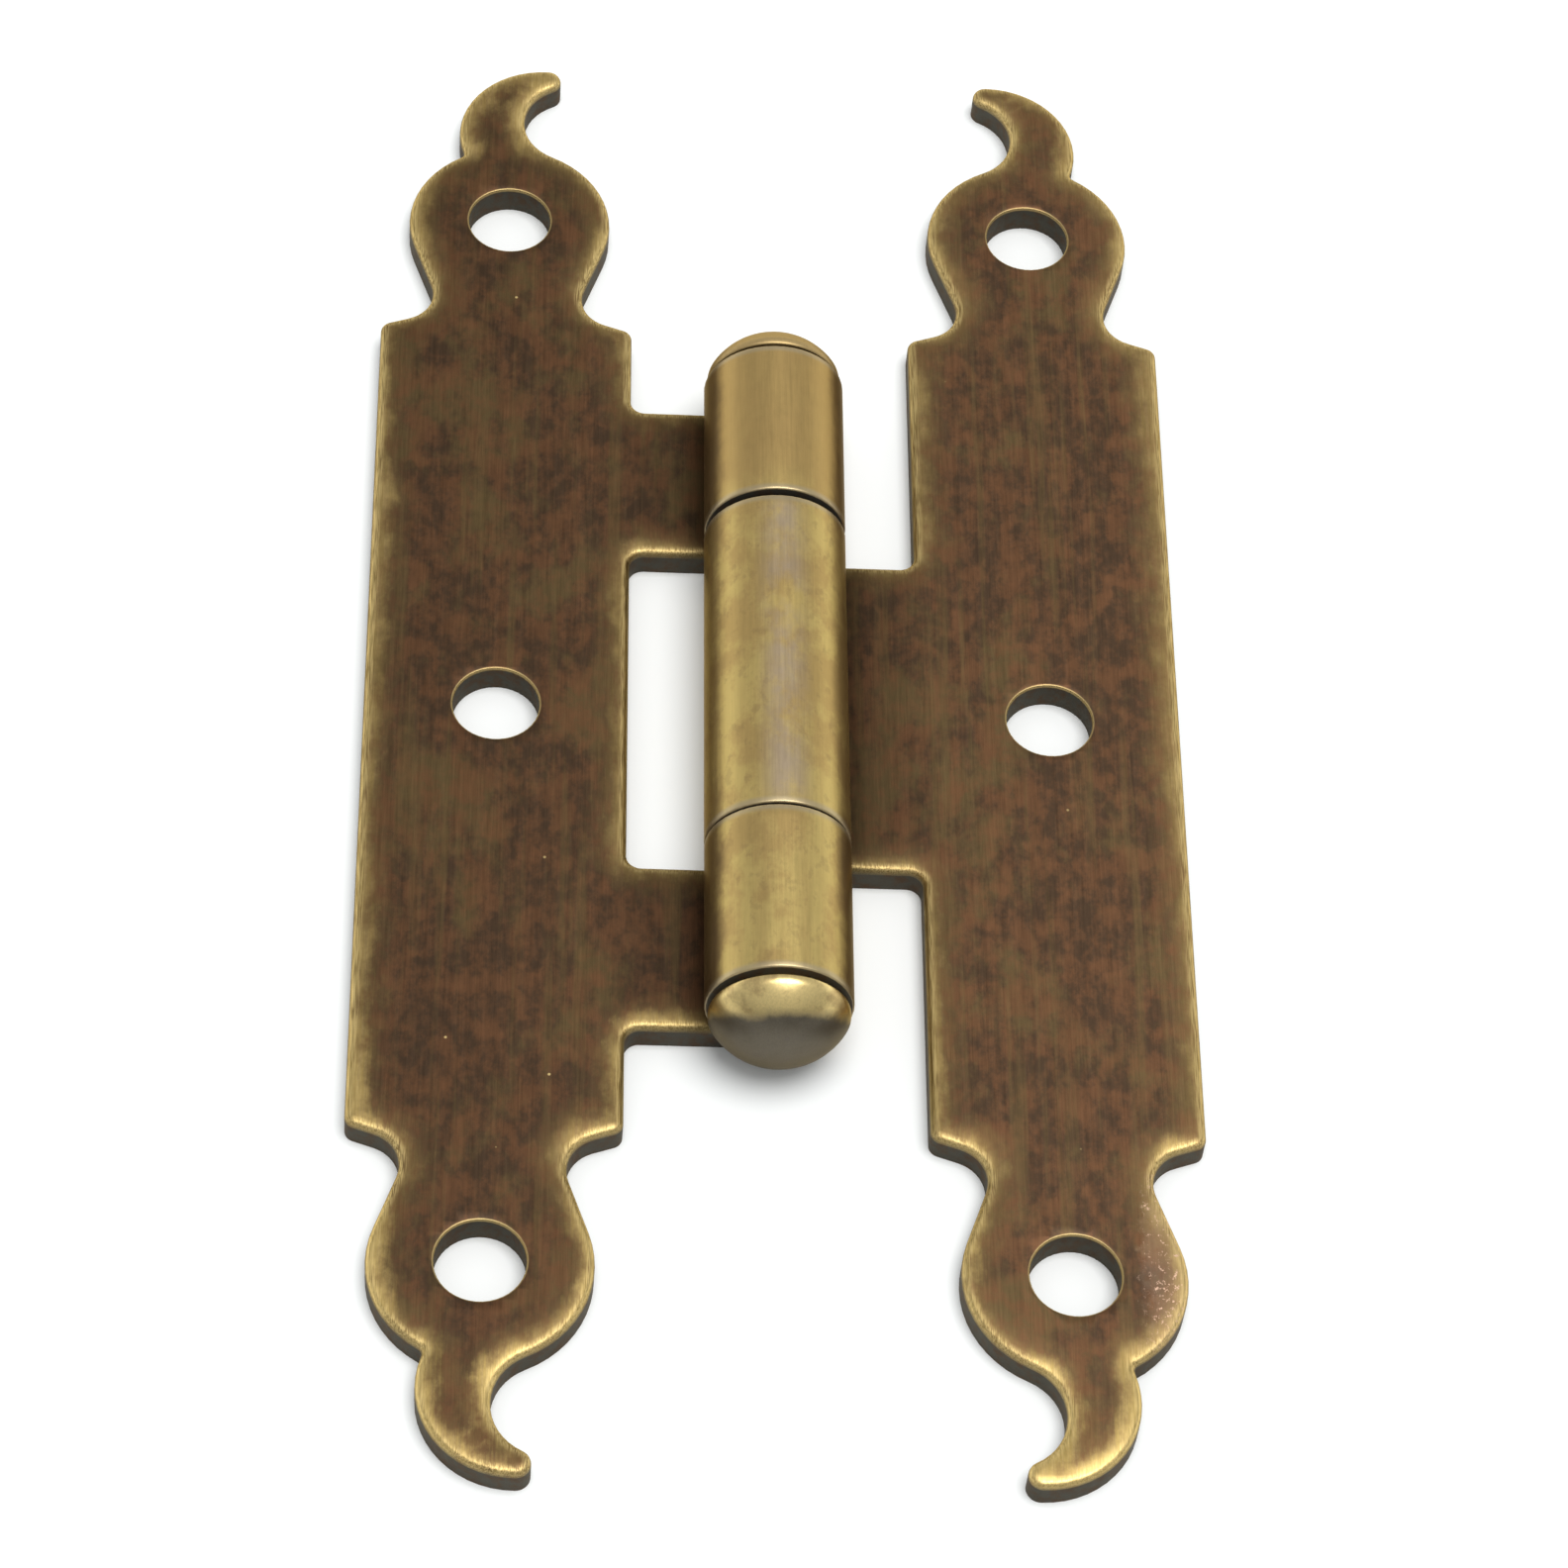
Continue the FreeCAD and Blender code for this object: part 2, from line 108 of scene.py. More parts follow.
class Finish:
    # the node tree of a material, or of the studio's surroundings, under construction
    def __init__(self, owner, coordinates="Object"):
        owner.use_nodes = True
        self.owner = owner
        self.tree = owner.node_tree
        self.tree.nodes.clear()
        self.place = self.node("ShaderNodeTexCoord", out=coordinates)
        parts = self.node("ShaderNodeSeparateXYZ", sockets={"Vector": self.place}).socket.node
        self.x, self.y, self.z = (Signal(self, part) for part in parts.outputs)

    def node(self, kind, settings=None, sockets=None, out=0):
        made = self.tree.nodes.new(kind)
        for key, value in (settings or {}).items():
            setattr(made, key, value)
        for key, value in (sockets or {}).items():
            if isinstance(value, Signal):
                self.tree.links.new(value.socket, made.inputs[key])
            else:
                made.inputs[key].default_value = value
        return Signal(self, made.outputs[out]) if made.outputs else None

    def attribute(self, name):
        return self.node("ShaderNodeAttribute", {"attribute_name": name}, out="Fac")

    def grain(self, perMm, detail=2.0, rough=0.5, shift=(0, 0, 0)):
        # noise with its own number of cells per millimetre along each axis
        spot = self.node("ShaderNodeMapping", {"vector_type": "POINT"}, {
            "Vector": self.place, "Scale": [n / mm for n in perMm], "Location": shift})
        return self.node("ShaderNodeTexNoise", {"noise_dimensions": "3D"}, {
            "Vector": spot, "Scale": 1.0, "Detail": detail, "Roughness": rough})

    def grains(self, recipes):
        return {word: self.grain(**recipe) for word, recipe in recipes.items()}

    def blend(self, factor, first, second):
        first, second = (c if isinstance(c, Signal) else (*c, 1) for c in (first, second))
        return self.node("ShaderNodeMix", {"data_type": "RGBA", "clamp_factor": True},
                         {0: factor, 6: first, 7: second}, out=2)

    def scaled(self, colour, factor):
        # a colour made lighter or darker
        return self.node("ShaderNodeVectorMath", {"operation": "SCALE"}, {0: colour, 3: factor})

    def metal(self, colour, roughness, metallic, height, bumpDepth, edgeTint=(1, 1, 1, 1)):
        bump = self.node("ShaderNodeBump", sockets={
            "Height": height, "Strength": 1.0, "Distance": bumpDepth})
        shader = self.node("ShaderNodeBsdfPrincipled", sockets={
            "Base Color": colour, "Roughness": roughness, "Metallic": metallic, "Normal": bump,
            "Specular Tint": edgeTint})
        self.node("ShaderNodeOutputMaterial", sockets={"Surface": shader})
        return self.owner


def weighed(noises, weights):
    # noises added up by weight, on top of a base
    total = weights["base"]
    for word, weight in weights.items():
        if word != "base":
            total = total + noises[word] * weight
    return total


def wobbled(value, noises, weights):
    # a distance pushed to and fro by noises
    for word, weight in weights.items():
        value = value + (noises[word] - 0.5) * weight
    return value


# mesh tools

def addObject(name, data):
    made = bpy.data.objects.new(name, data)
    bpy.context.scene.collection.objects.link(made)
    return made


def newPiece(name, mesh, finish, body, node):
    piece = addObject(name, mesh)
    mesh.materials.append(finish)
    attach(piece, body)
    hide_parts(node)
    return piece


def finishedMesh(bm, name):
    for edge in bm.edges:
        edge.smooth = edge.calc_face_angle(0) < smoothAngle
    for face in bm.faces:
        face.smooth = True
    mesh = bpy.data.meshes.new(name)
    bm.to_mesh(mesh)
    bm.free()
    return mesh


def soften(bm, edges, width, segments):
    bmesh.ops.bevel(bm, geom=edges, offset=width, offset_type="OFFSET", segments=segments,
                    profile=0.5, affect="EDGES", material=-1)


def softRise(value, low, high):
    share = min(max((value - low) / (high - low), 0), 1)
    return share * share * (3 - 2 * share)


def cutAcross(bm, axis, low, high, step, keep):
    # parallel cuts through the faces that keep() picks
    normal = Vector([float(i == axis) for i in range(3)])
    for number in range(1, int((high - low) / step) + 1):
        faces = [face for face in bm.faces if keep(face)]
        edges = dict.fromkeys(edge for face in faces for edge in face.edges)
        verts = dict.fromkeys(vert for face in faces for vert in face.verts)
        bmesh.ops.bisect_plane(bm, geom=[*verts, *edges, *faces], dist=tiny,
                               plane_co=normal * (low + number * step), plane_no=normal)


def surfaceTree(faces):
    # some faces as a surface to measure distances to
    corners, polygons = [], []
    for face in faces:
        polygons.append(list(range(len(corners), len(corners) + len(face.verts))))
        corners += [vert.co.copy() for vert in face.verts]
    return BVHTree.FromPolygons(corners, polygons)


# finish of the leaves

leafNoises = {                     # cells per mm along x, y and z; the grain runs along the pin
    "grain": {"perMm": (9.0, 0.28, 9.0), "detail": 3.0, "rough": 0.6},
    "fineGrain": {"perMm": (24.0, 0.9, 24.0)},
    "streak": {"perMm": (1.6, 0.06, 1.6), "detail": 4.0, "rough": 0.55, "shift": (5, 1, 7)},
    "cloud": {"perMm": (0.30, 0.20, 0.30), "detail": 6.0, "rough": 0.62},
    "blotch": {"perMm": (0.45, 0.35, 0.45), "detail": 6.0, "rough": 0.65, "shift": (7, 4, 9)},
    "patch": {"perMm": (0.75, 0.55, 0.75), "detail": 6.0, "rough": 0.62, "shift": (9, 2, 5)},
    "spots": {"perMm": (1.9, 1.3, 1.9), "detail": 6.0, "rough": 0.62, "shift": (3, 8, 1)},
    "specks": {"perMm": (5.0, 4.0, 5.0), "detail": 4.0, "rough": 0.75, "shift": (1, 2, 3)},
}

agedBrass = {
    "umber": (0.076, 0.047, 0.029),
    "redBrown": (0.170, 0.080, 0.039),
    "olive": (0.150, 0.102, 0.044),
    "warmEdge": (0.220, 0.142, 0.058),
    "wornBrass": (0.53, 0.375, 0.130),
    "brightBrass": (0.84, 0.64, 0.28),
    "copper": (0.85, 0.56, 0.40),
    "wallPatina": (0.066, 0.063, 0.052),
    "barrelBrass": (0.60, 0.450, 0.165),
    "barrelBrown": (0.46, 0.310, 0.120),
    "barrelDarkSpotsAndFlankShade": (0.17, 0.115, 0.062),
    "plumTinge": (0.42, 0.330, 0.245),
    "greyLipHighlight": (0.44, 0.370, 0.250),
    "edgeTint": (0.62, 0.52, 0.36, 1),      # what grazing reflections take on

    # stains: the noise where each starts, the noise where it is full and, where given, its strength
    "oliveClouds": (0.48, 0.64, 0.70),
    "redPatches": (0.44, 0.62, 0.65),
    "redSpots": (0.42, 0.66, 0.40),
    "oliveStreaks": (0.52, 0.70, 0.45),
    "brightGrain": (0.35, 0.70, 0.45),
    "crestWearAndHighlightBreaks": (0.36, 0.62, 0.60),
    "copperSpecks": (0.56, 0.66, 0.85),
    "wallStains": (0.40, 0.70),
    "brownStreaks": (0.40, 0.72, 0.40),
    "brownBlotches": (0.42, 0.60, 0.80),
    "darkSpots": (0.52, 0.66, 0.25),
    "plumClouds": (0.36, 0.58, 0.80),

    # brushing: how much each noise lightens the colour, on top of a base
    "fieldBrushing": {"base": 0.40, "grain": 0.60, "fineGrain": 0.30, "spots": 0.20},
    "bandBrushing": {"base": 0.52, "fineGrain": 0.50, "grain": 0.50},
    "wallBrushing": {"base": 0.60, "cloud": 0.80},
    "barrelBrushing": {"base": 0.66, "grain": 0.22, "fineGrain": 0.14, "spots": 0.20},

    # mm by which noises push a border to and fro
    "warmWobble": {"cloud": 3.6, "spots": 2.6},
    "bandWobble": {"grain": 0.9, "cloud": 2.4, "patch": 1.6},
    "scuffWobble": {"spots": 2.4},
    "flankShadeWobble": {"blotch": 1.2},

    # mm in from the outline, a hole's rim or a knuckle's end, negative down the wall beyond it:
    # where each starts, where it is full and, where given, its strength
    "warmBand": (1.9, 0.3, 0.50),
    "rubbedBand": (1.02, -0.15),
    "crestWearAndHighlightLine": (0.50, 0.15),
    "wallTop": (0.09, -0.05),
    "holeRing": (0.10, 0.03, 0.45),
    "holeWall": (-0.01, -0.12),
    "lipHighlightLine": (0.42, 0.16, 0.60),
    "knuckleFace": (-0.03, -0.10),

    # places in mm, in the same order
    "backHeight": (0.03, 0.01),             # the mounting side
    "backInset": 10,                        # how far in from the outline all of it counts as
    "cornerAcross": (3.8, 5.8),             # from the leaf's middle line
    "cornerAlong": (23.0, 26.5),            # from the middle of the hinge
    "cornerEnd": (30.0, 28.0),
    "cornerReach": 0.8,                     # how much wider the rubbed band is there
    "sideAcross": (3.0, 4.6),
    "hookAlong": (33.0, 35.0),
    "neckShare": 0.45,                      # of the rubbing, where neither side nor hook stands out
    "leastRubbing": 0.45,                   # at the middle of the hinge
    "endRubbing": (20.0, 34.0, 0.25),       # more towards both ends
    "lowRubbing": (-8.0, -28.0, 0.30),      # and more still towards the lower one
    # painted shade on the tabs towards the barrel, and a painted contact shadow at the barrel's root, on top
    # of patina
    "tabShadeAndPatina": (8.6, 4.4, 0.30),           # from the pin's axis
    "rootShade": (5.0, 3.3, 0.34),
    "rightLight": 0.010,                    # how much lighter per mm to the right
    "barrelBorder": (0.22, 0.06),           # outside the barrel's round
    "middleKnuckle": (9.5, 7.5),
    "upperKnuckle": (8.0, 11.0, 0.90),
    "plumLine": 0.2,
    "plumAcross": (1.5, 0.1),
    "scuffMiddle": (16.6, -29.0),           # across and along, of the scuffed patch on one lobe

    # marks
    "scuffFade": (0.7, 0.035),              # how soon the patch ends across and along
    "scuffBorder": (1.1, 0.1),
    "scuffTint": 0.10,
    "nicksPerMm": 0.42,
    "nickSize": (0.036, 0.018, 0.60),       # of a cell
    "nickShare": (0.45, 0.75),              # of the cells, by their colour
    # painted shade on the barrel's flanks, where it would mirror the dark leaves
    "flankShadeShare": (0.72, 0.92),             # of the barrel's radius
    "flankShadeStrength": 0.80,
    "middleFlankShadeLoss": 0.35,                # how much fainter the flank is on the middle knuckle

    # gloss
    "roughness": {"base": 0.36, "grain": 0.16, "spots": 0.08},
    "rubbedGloss": 0.08,
    "barrelGloss": 0.08,
    "wallDullness": 0.20,
    "faceDullness": 0.25,
    "patinaCover": 0.60,                    # how much of the metal the patina hides
    "grainHeight": {"base": 0.0, "grain": 0.6, "fineGrain": 0.4},
    "grainDepth": 5e-6,                     # metres
}


def darkField(f, noises, x, edge, look):
    field = f.blend(noises["cloud"].stain(*look["oliveClouds"]), look["umber"], look["olive"])
    field = f.blend(noises["patch"].stain(*look["redPatches"]), field, look["redBrown"])
    field = f.blend(noises["spots"].stain(*look["redSpots"]), field, look["redBrown"])
    field = f.blend(noises["streak"].stain(*look["oliveStreaks"]), field, look["olive"])
    warm = wobbled(edge, noises, look["warmWobble"]).stain(*look["warmBand"])
    field = f.blend(warm, field, look["warmEdge"])
    return f.scaled(field, weighed(noises, look["fieldBrushing"]) * (1 + x * look["rightLight"]))


def rubbing(noises, x, y, edge, look):
    # ragged along the grain, wide at the plate's corners and faint at the necks
    fromMiddle = (x.size() - holeLine / mm).size()
    along = y.size()
    corner = (fromMiddle.rising(*look["cornerAcross"]) * along.rising(*look["cornerAlong"])
              * along.rising(*look["cornerEnd"]))
    standsOut = fromMiddle.rising(*look["sideAcross"]).atLeast(along.rising(*look["hookAlong"]))
    ragged = wobbled(edge, noises, look["bandWobble"]) - corner * look["cornerReach"]
    byPlace = look["leastRubbing"] + along.stain(*look["endRubbing"]) + y.stain(*look["lowRubbing"])
    byShape = look["neckShare"] + standsOut * (1 - look["neckShare"])
    return ragged.rising(*look["rubbedBand"]) * byPlace * byShape


def wornMarks(f, noises, surface, x, y, hole, look):
    surface = f.blend(hole.stain(*look["holeRing"]), surface, look["brightBrass"])

    # a scuffed patch with coppery specks
    across, down = x - look["scuffMiddle"][0], y - look["scuffMiddle"][1]
    fade = across * across * look["scuffFade"][0] + down * down * look["scuffFade"][1]
    scuff = wobbled(fade, noises, look["scuffWobble"]).rising(*look["scuffBorder"])
    surface = f.blend(scuff * look["scuffTint"], surface, look["copper"])
    surface = f.blend(scuff * noises["specks"].stain(*look["copperSpecks"]), surface, look["copper"])

    # scattered bright nicks, in some of the cells only
    cells = f.node("ShaderNodeTexVoronoi", {"voronoi_dimensions": "3D", "feature": "F1"},
                   {"Vector": f.place, "Scale": look["nicksPerMm"] / mm})
    cellColour = Signal(f, cells.socket.node.outputs["Color"])
    chosen = f.node("ShaderNodeSeparateColor", sockets={"Color": cellColour})
    nick = cells.stain(*look["nickSize"]) * chosen.rising(*look["nickShare"])
    return f.blend(nick, surface, look["brightBrass"])


def satinBarrel(f, noises, x, y, rim, look):
    satin = f.blend(noises["streak"].stain(*look["brownStreaks"]), look["barrelBrass"], look["barrelBrown"])
    satin = f.blend(noises["blotch"].stain(*look["brownBlotches"]), satin, look["barrelBrown"])
    satin = f.blend(noises["spots"].stain(*look["darkSpots"]), satin, look["barrelDarkSpotsAndFlankShade"])
    middle = y.size().rising(*look["middleKnuckle"])
    plum = (x - look["plumLine"]).size().rising(*look["plumAcross"]) * middle
    satin = f.blend(plum * noises["cloud"].stain(*look["plumClouds"]), satin, look["plumTinge"])
    satin = f.blend(y.stain(*look["upperKnuckle"]), satin, look["barrelBrown"])
    satin = f.scaled(satin, weighed(noises, look["barrelBrushing"]))
    # the barrel's flanks painted darker: painted shade standing in for the dark reflection of the leaves,
    # fainter on the middle knuckle
    flankShadeLow, flankShadeHigh = (share * barrelRadius / mm for share in look["flankShadeShare"])
    flankShade = wobbled(x.size(), noises, look["flankShadeWobble"]).rising(flankShadeLow, flankShadeHigh)
    satin = f.blend(flankShade * (look["flankShadeStrength"] - middle * look["middleFlankShadeLoss"]),
                    satin, look["barrelDarkSpotsAndFlankShade"])
    # a grey line at the knuckles' ends: painted highlight of the softened rims
    return f.blend(rim.stain(*look["lipHighlightLine"]), satin, look["greyLipHighlight"])


def brushedBrass(name, look):
    f = Finish(bpy.data.materials.new(name))
    x, y, z = f.x / mm, f.y / mm, f.z / mm
    noises = f.grains(leafNoises)
    back = z.rising(*look["backHeight"])
    inset = (back * 2 - 1) * look["backInset"]          # no hand rubs the back, so its outline is far off
    edge = f.attribute("edgeDistance").atLeast(inset)   # mm in from the outline, negative down the walls
    hole = f.attribute("holeDistance")                  # the same from the screw holes
    rim = f.attribute("rimDistance")                    # the same from the ends of the knuckles

    # dark field, rubbed bright along the outline
    rubbed = rubbing(noises, x, y, edge, look)
    brass = f.blend(noises["grain"].stain(*look["brightGrain"]), look["wornBrass"], look["brightBrass"])
    brass = f.scaled(brass, weighed(noises, look["bandBrushing"]))
    surface = f.blend(rubbed, darkField(f, noises, x, edge, look), brass)
    # a broken bright line along the outline's lip: edge wear, and a painted highlight where the rounded lip
    # catches the overhead light
    crestWearAndHighlight = edge.rising(*look["crestWearAndHighlightLine"]) * noises["fineGrain"].stain(*look["crestWearAndHighlightBreaks"])
    surface = f.blend(crestWearAndHighlight, surface, look["brightBrass"])

    # darker towards the barrel: painted shade where the barrel shades the tabs and a painted contact shadow
    # at its root, over patina where a brush can't reach
    paintedShadeAndPatina = x.size().stain(*look["tabShadeAndPatina"]) + x.size().stain(*look["rootShade"])
    surface = f.scaled(surface, 1 - paintedShadeAndPatina)
    surface = wornMarks(f, noises, surface, x, y, hole, look)

    # walls that were never brushed
    wall = edge.rising(*look["wallTop"]).atLeast(hole.rising(*look["holeWall"]))
    dull = f.blend(noises["spots"].rising(*look["wallStains"]), look["wallPatina"], look["umber"])
    dull = f.scaled(dull, weighed(noises, look["wallBrushing"]))
    surface = f.blend(wall, surface, dull)

    # lighter satin barrel, with unbrushed faces at the knuckles' ends
    lift = z - axisHeight / mm
    radius = (x * x + lift * lift) ** 0.5
    onBarrel = radius.rising(*(barrelRadius / mm + border for border in look["barrelBorder"]))
    face = rim.rising(*look["knuckleFace"])
    satin = f.blend(face, satinBarrel(f, noises, x, y, rim, look), dull)
    surface = f.blend(onBarrel, surface, satin)

    rough = weighed(noises, look["roughness"]) - rubbed * look["rubbedGloss"] + wall * look["wallDullness"]
    rough = rough - onBarrel * look["barrelGloss"] + onBarrel * face * look["faceDullness"]
    metallic = 1 - wall.atLeast(onBarrel * face) * look["patinaCover"]
    height = weighed(noises, look["grainHeight"])
    return f.metal(surface, rough, metallic, height, look["grainDepth"], look["edgeTint"])


# leaves

leafShape = {
    "holePitch": 29.5 * mm,
    "holeRadius": 2.0 * mm,
    "sheet": 1.5 * mm,
    "flatAngle": math.radians(0.5),   # fainter creases than this are one flat
    "holeRim": 0.09 * mm,             # softened front rim of each hole
    "knuckleRim": 0.10 * mm,          # softened ends of the rolled knuckles
    "lipAngle": 1.0,                  # radians, edges sharper than this are a knuckle's end
    "gridStep": 0.55 * mm,
    "crownDepth": 0.12 * mm,          # how far the front falls away at the outline
    "crownWidth": 1.3 * mm,
    "cornerRadius": 0.26 * mm,        # the corner that is left between front and wall
    "filletDepth": 0.45 * mm,         # of the frame's own rounding, which the crown takes the place of
    "rootShare": 0.72,                # of the barrel's radius, where the plate begins
    "flatShare": 1.2,                 # of the same, where it is flat in full
    "barrelSkin": 0.02 * mm,          # nearer to the barrel's round than this is on it
    "holeClear": 0.05 * mm,           # farther from a hole than this is the outline's wall
    "wallTilt": 0.01,                 # a wall's normal rises less than this
    "ripple": 0.006 * mm,
    "ripplesPerMm": 0.35,
}


def leafMesh(node, side, ends, shape):
    bm = bmesh.new()
    bm.from_mesh(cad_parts[node].data)
    bmesh.ops.remove_doubles(bm, verts=bm.verts, dist=tiny)
    bmesh.ops.dissolve_limit(bm, verts=bm.verts, edges=bm.edges, angle_limit=shape["flatAngle"])

    sheet, holeRim = shape["sheet"], shape["holeRim"]
    holes = [Vector((side * holeLine, shape["holePitch"] * n, 0)) for n in (-1, 0, 1)]

    def fromHole(point):
        return min((point.xy - hole.xy).length for hole in holes) - shape["holeRadius"]

    def fromAxis(point):
        return math.hypot(point.x, point.z - axisHeight)

    # soften the hole rims and the ends of the knuckles
    rims = [edge for edge in bm.edges
            if all(v.co.z > sheet - tiny and abs(fromHole(v.co)) < onLine for v in edge.verts)]
    soften(bm, rims, holeRim, 2)
    lips = [edge for edge in bm.edges
            if any(all(abs(v.co.y - end) < tiny for v in edge.verts) for end in ends)
            and all(abs(fromAxis(v.co) - barrelRadius) < shape["barrelSkin"] for v in edge.verts)
            and edge.calc_face_angle(0) > shape["lipAngle"]]
    soften(bm, lips, shape["knuckleRim"], 3)

    # a fine grid, so that the front can be crowned
    root = barrelRadius * shape["rootShare"]

    def onPlate(face):
        return abs(face.calc_center_median().x) > root

    bmesh.ops.bisect_plane(bm, geom=bm.verts[:] + bm.edges[:] + bm.faces[:], dist=tiny,
                           plane_co=(side * root, 0, 0), plane_no=(1, 0, 0))
    cutAcross(bm, 1, leafLow.y, leafHigh.y, shape["gridStep"], lambda face: True)
    near, far = sorted((side * root, side * leafHigh.x))
    cutAcross(bm, 0, near, far, shape["gridStep"], onPlate)

    # how far each point lies in from the outline, the holes and the knuckle ends
    bm.normal_update()
    outline = surfaceTree(face for face in bm.faces
                          if abs(face.normal.z) < shape["wallTilt"] and onPlate(face)
                          and fromHole(face.calc_center_median()) > shape["holeClear"])
    edgeLayer, holeLayer, rimLayer = (bm.verts.layers.float.new(layer) for layer in
                                      ("edgeDistance", "holeDistance", "rimDistance"))
    corner = shape["cornerRadius"]
    filletFoot = sheet - shape["filletDepth"]
    for vert in bm.verts:
        x, y, z = vert.co
        inward = outline.find_nearest(Vector((x, y, sheet / 2)))[3]
        front = z > filletFoot - tiny
        onWall = not front and inward < onLine
        vert[edgeLayer] = (z - filletFoot if onWall else inward) / mm
        byHole = fromHole(vert.co)
        downHole = byHole < onLine and z < sheet - holeRim / 2
        vert[holeLayer] = (z - sheet + holeRim if downHole else byHole) / mm
        fromEnd = min(abs(y - end) for end in ends)
        vert[rimLayer] = (fromEnd - max(barrelRadius - fromAxis(vert.co), 0)) / mm

        # the front falls away towards the outline, and ripples a little
        onFront = front and z < sheet + tiny and fromAxis(vert.co) > barrelRadius + shape["barrelSkin"]
        if onFront and abs(x) > root:
            drop = shape["crownDepth"] * max(1 - inward / shape["crownWidth"], 0) ** 2
            if inward < corner:
                drop += corner - math.sqrt(corner ** 2 - (corner - inward) ** 2)
            flat = z if byHole < 2 * holeRim else sheet
            share = softRise(abs(x), root, barrelRadius * shape["flatShare"])
            vert.co.z = z + share * (flat - drop - z)
            vert.co.z += shape["ripple"] * noise.noise(vert.co * (shape["ripplesPerMm"] / mm))
    return finishedMesh(bm, node)


def knuckleEnds(node):
    # where the top of the barrel has its points, all but the one at the middle of the hinge
    top = [v.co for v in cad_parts[node].data.vertices
           if abs(v.co.x) < mm and v.co.z > axisHeight + barrelRadius / 2]
    return [y for y in sorted({round(co.y, 6) for co in top}) if abs(y) > tiny]


brassFinish = brushedBrass("brushed aged brass", agedBrass)
for word, side, body in (("left", -1, "frame_leaf"), ("right", 1, "door_leaf")):
    ends = knuckleEnds(word + "_leaf")
    mesh = leafMesh(word + "_leaf", side, ends, leafShape)
    leaf = newPiece("stamped_leaf_" + word, mesh, brassFinish, body, word + "_leaf")
    even = leaf.modifiers.new("even shading", "WEIGHTED_NORMAL")
    even.keep_sharp = True
    even.weight = 90                  # the flats win over the narrow bevels
    print("leaf", word, len(mesh.polygons), "faces, knuckle ends", ends)


# caps

turnedBrass = {
    "gold": (0.78, 0.60, 0.26),
    "brown": (0.38, 0.255, 0.115),
    "satin": (0.46, 0.33, 0.15),
    "tarnish": (0.090, 0.082, 0.072),
    "edgeTint": (0.62, 0.52, 0.36, 1),
    "noises": {
        "swirl": {"perMm": (1.0, 0.8, 1.0), "detail": 6.0, "rough": 0.6},
        "cloud": {"perMm": (0.35, 0.3, 0.35), "detail": 4.0, "shift": (2, 6, 4)},
        "fine": {"perMm": (14.0, 4.0, 14.0)},
    },
    "brownSwirls": (0.50, 0.68, 0.60),    # none, full, strength
    "footInset": 0.6,                     # mm from the pin's end back to the foot of the dome
    "rimSlope": 1.62,                     # how fast the tarnish climbs from the foot to the crown
    "tarnishLift": 0.3,                   # mm
    "tarnishWobble": {"cloud": 1.6, "swirl": 1.2},
    "tarnishBorder": (0.55, -0.55),
    "tarnishCover": 0.95,
    "tarnishTone": {"base": 0.45, "cloud": 0.50, "swirl": 0.60},
    "upperSide": (-1, 1),                 # mm from the middle of the hinge
    "upperClean": 0.80,                   # how much less tarnish the upper cap has
    "turning": {"base": 0.80, "fine": 0.35},
    "roughness": {"base": 0.24, "swirl": 0.12},
    "tarnishDullness": 0.10,
    "upperDullness": 0.16,
    "patinaCover": 0.25,
    "bumpHeight": {"base": 0.0, "fine": 0.5, "swirl": 0.5},
    "bumpDepth": 4e-6,
}


def polishedCap(name, look):
    f = Finish(bpy.data.materials.new(name))
    y, z = f.y / mm, f.z / mm
    noises = f.grains(look["noises"])
    colour = f.blend(noises["swirl"].stain(*look["brownSwirls"]), look["gold"], look["brown"])

    # rubbed bright on the front of the foot, tarnished over the crown and behind
    foot = (pinHigh.y - pinLow.y) / 2 / mm - look["footInset"]
    outward = (y - (pinHigh.y + pinLow.y) / 2 / mm).size() - foot
    bare = z - axisHeight / mm - outward * look["rimSlope"] - look["tarnishLift"]
    dull = wobbled(bare, noises, look["tarnishWobble"]).rising(*look["tarnishBorder"])

    # the upper cap is as satin as the barrel
    upper = y.rising(*look["upperSide"])
    dull = dull * (1 - upper * look["upperClean"])
    colour = f.blend(upper, colour, look["satin"])
    tarnish = f.scaled(look["tarnish"], weighed(noises, look["tarnishTone"]))
    colour = f.blend(dull * look["tarnishCover"], colour, tarnish)
    colour = f.scaled(colour, weighed(noises, look["turning"]))
    rough = weighed(noises, look["roughness"]) + dull * look["tarnishDullness"]
    rough = rough + upper * look["upperDullness"]
    height = weighed(noises, look["bumpHeight"])
    return f.metal(colour, rough, 1 - dull * look["patinaCover"], height, look["bumpDepth"], look["edgeTint"])


capShape = {
    "neck": 0.24 * mm,                # shadow groove between knuckle and cap
    "neckRadius": 2.65 * mm,
    "land": 0.36 * mm,                # straight foot under the dome
    "shoulder": 0.12 * mm,            # softened edge at the foot
    "shoulderAngle": math.radians(20),
    "domeSteps": 20,
    "turns": 96,
}


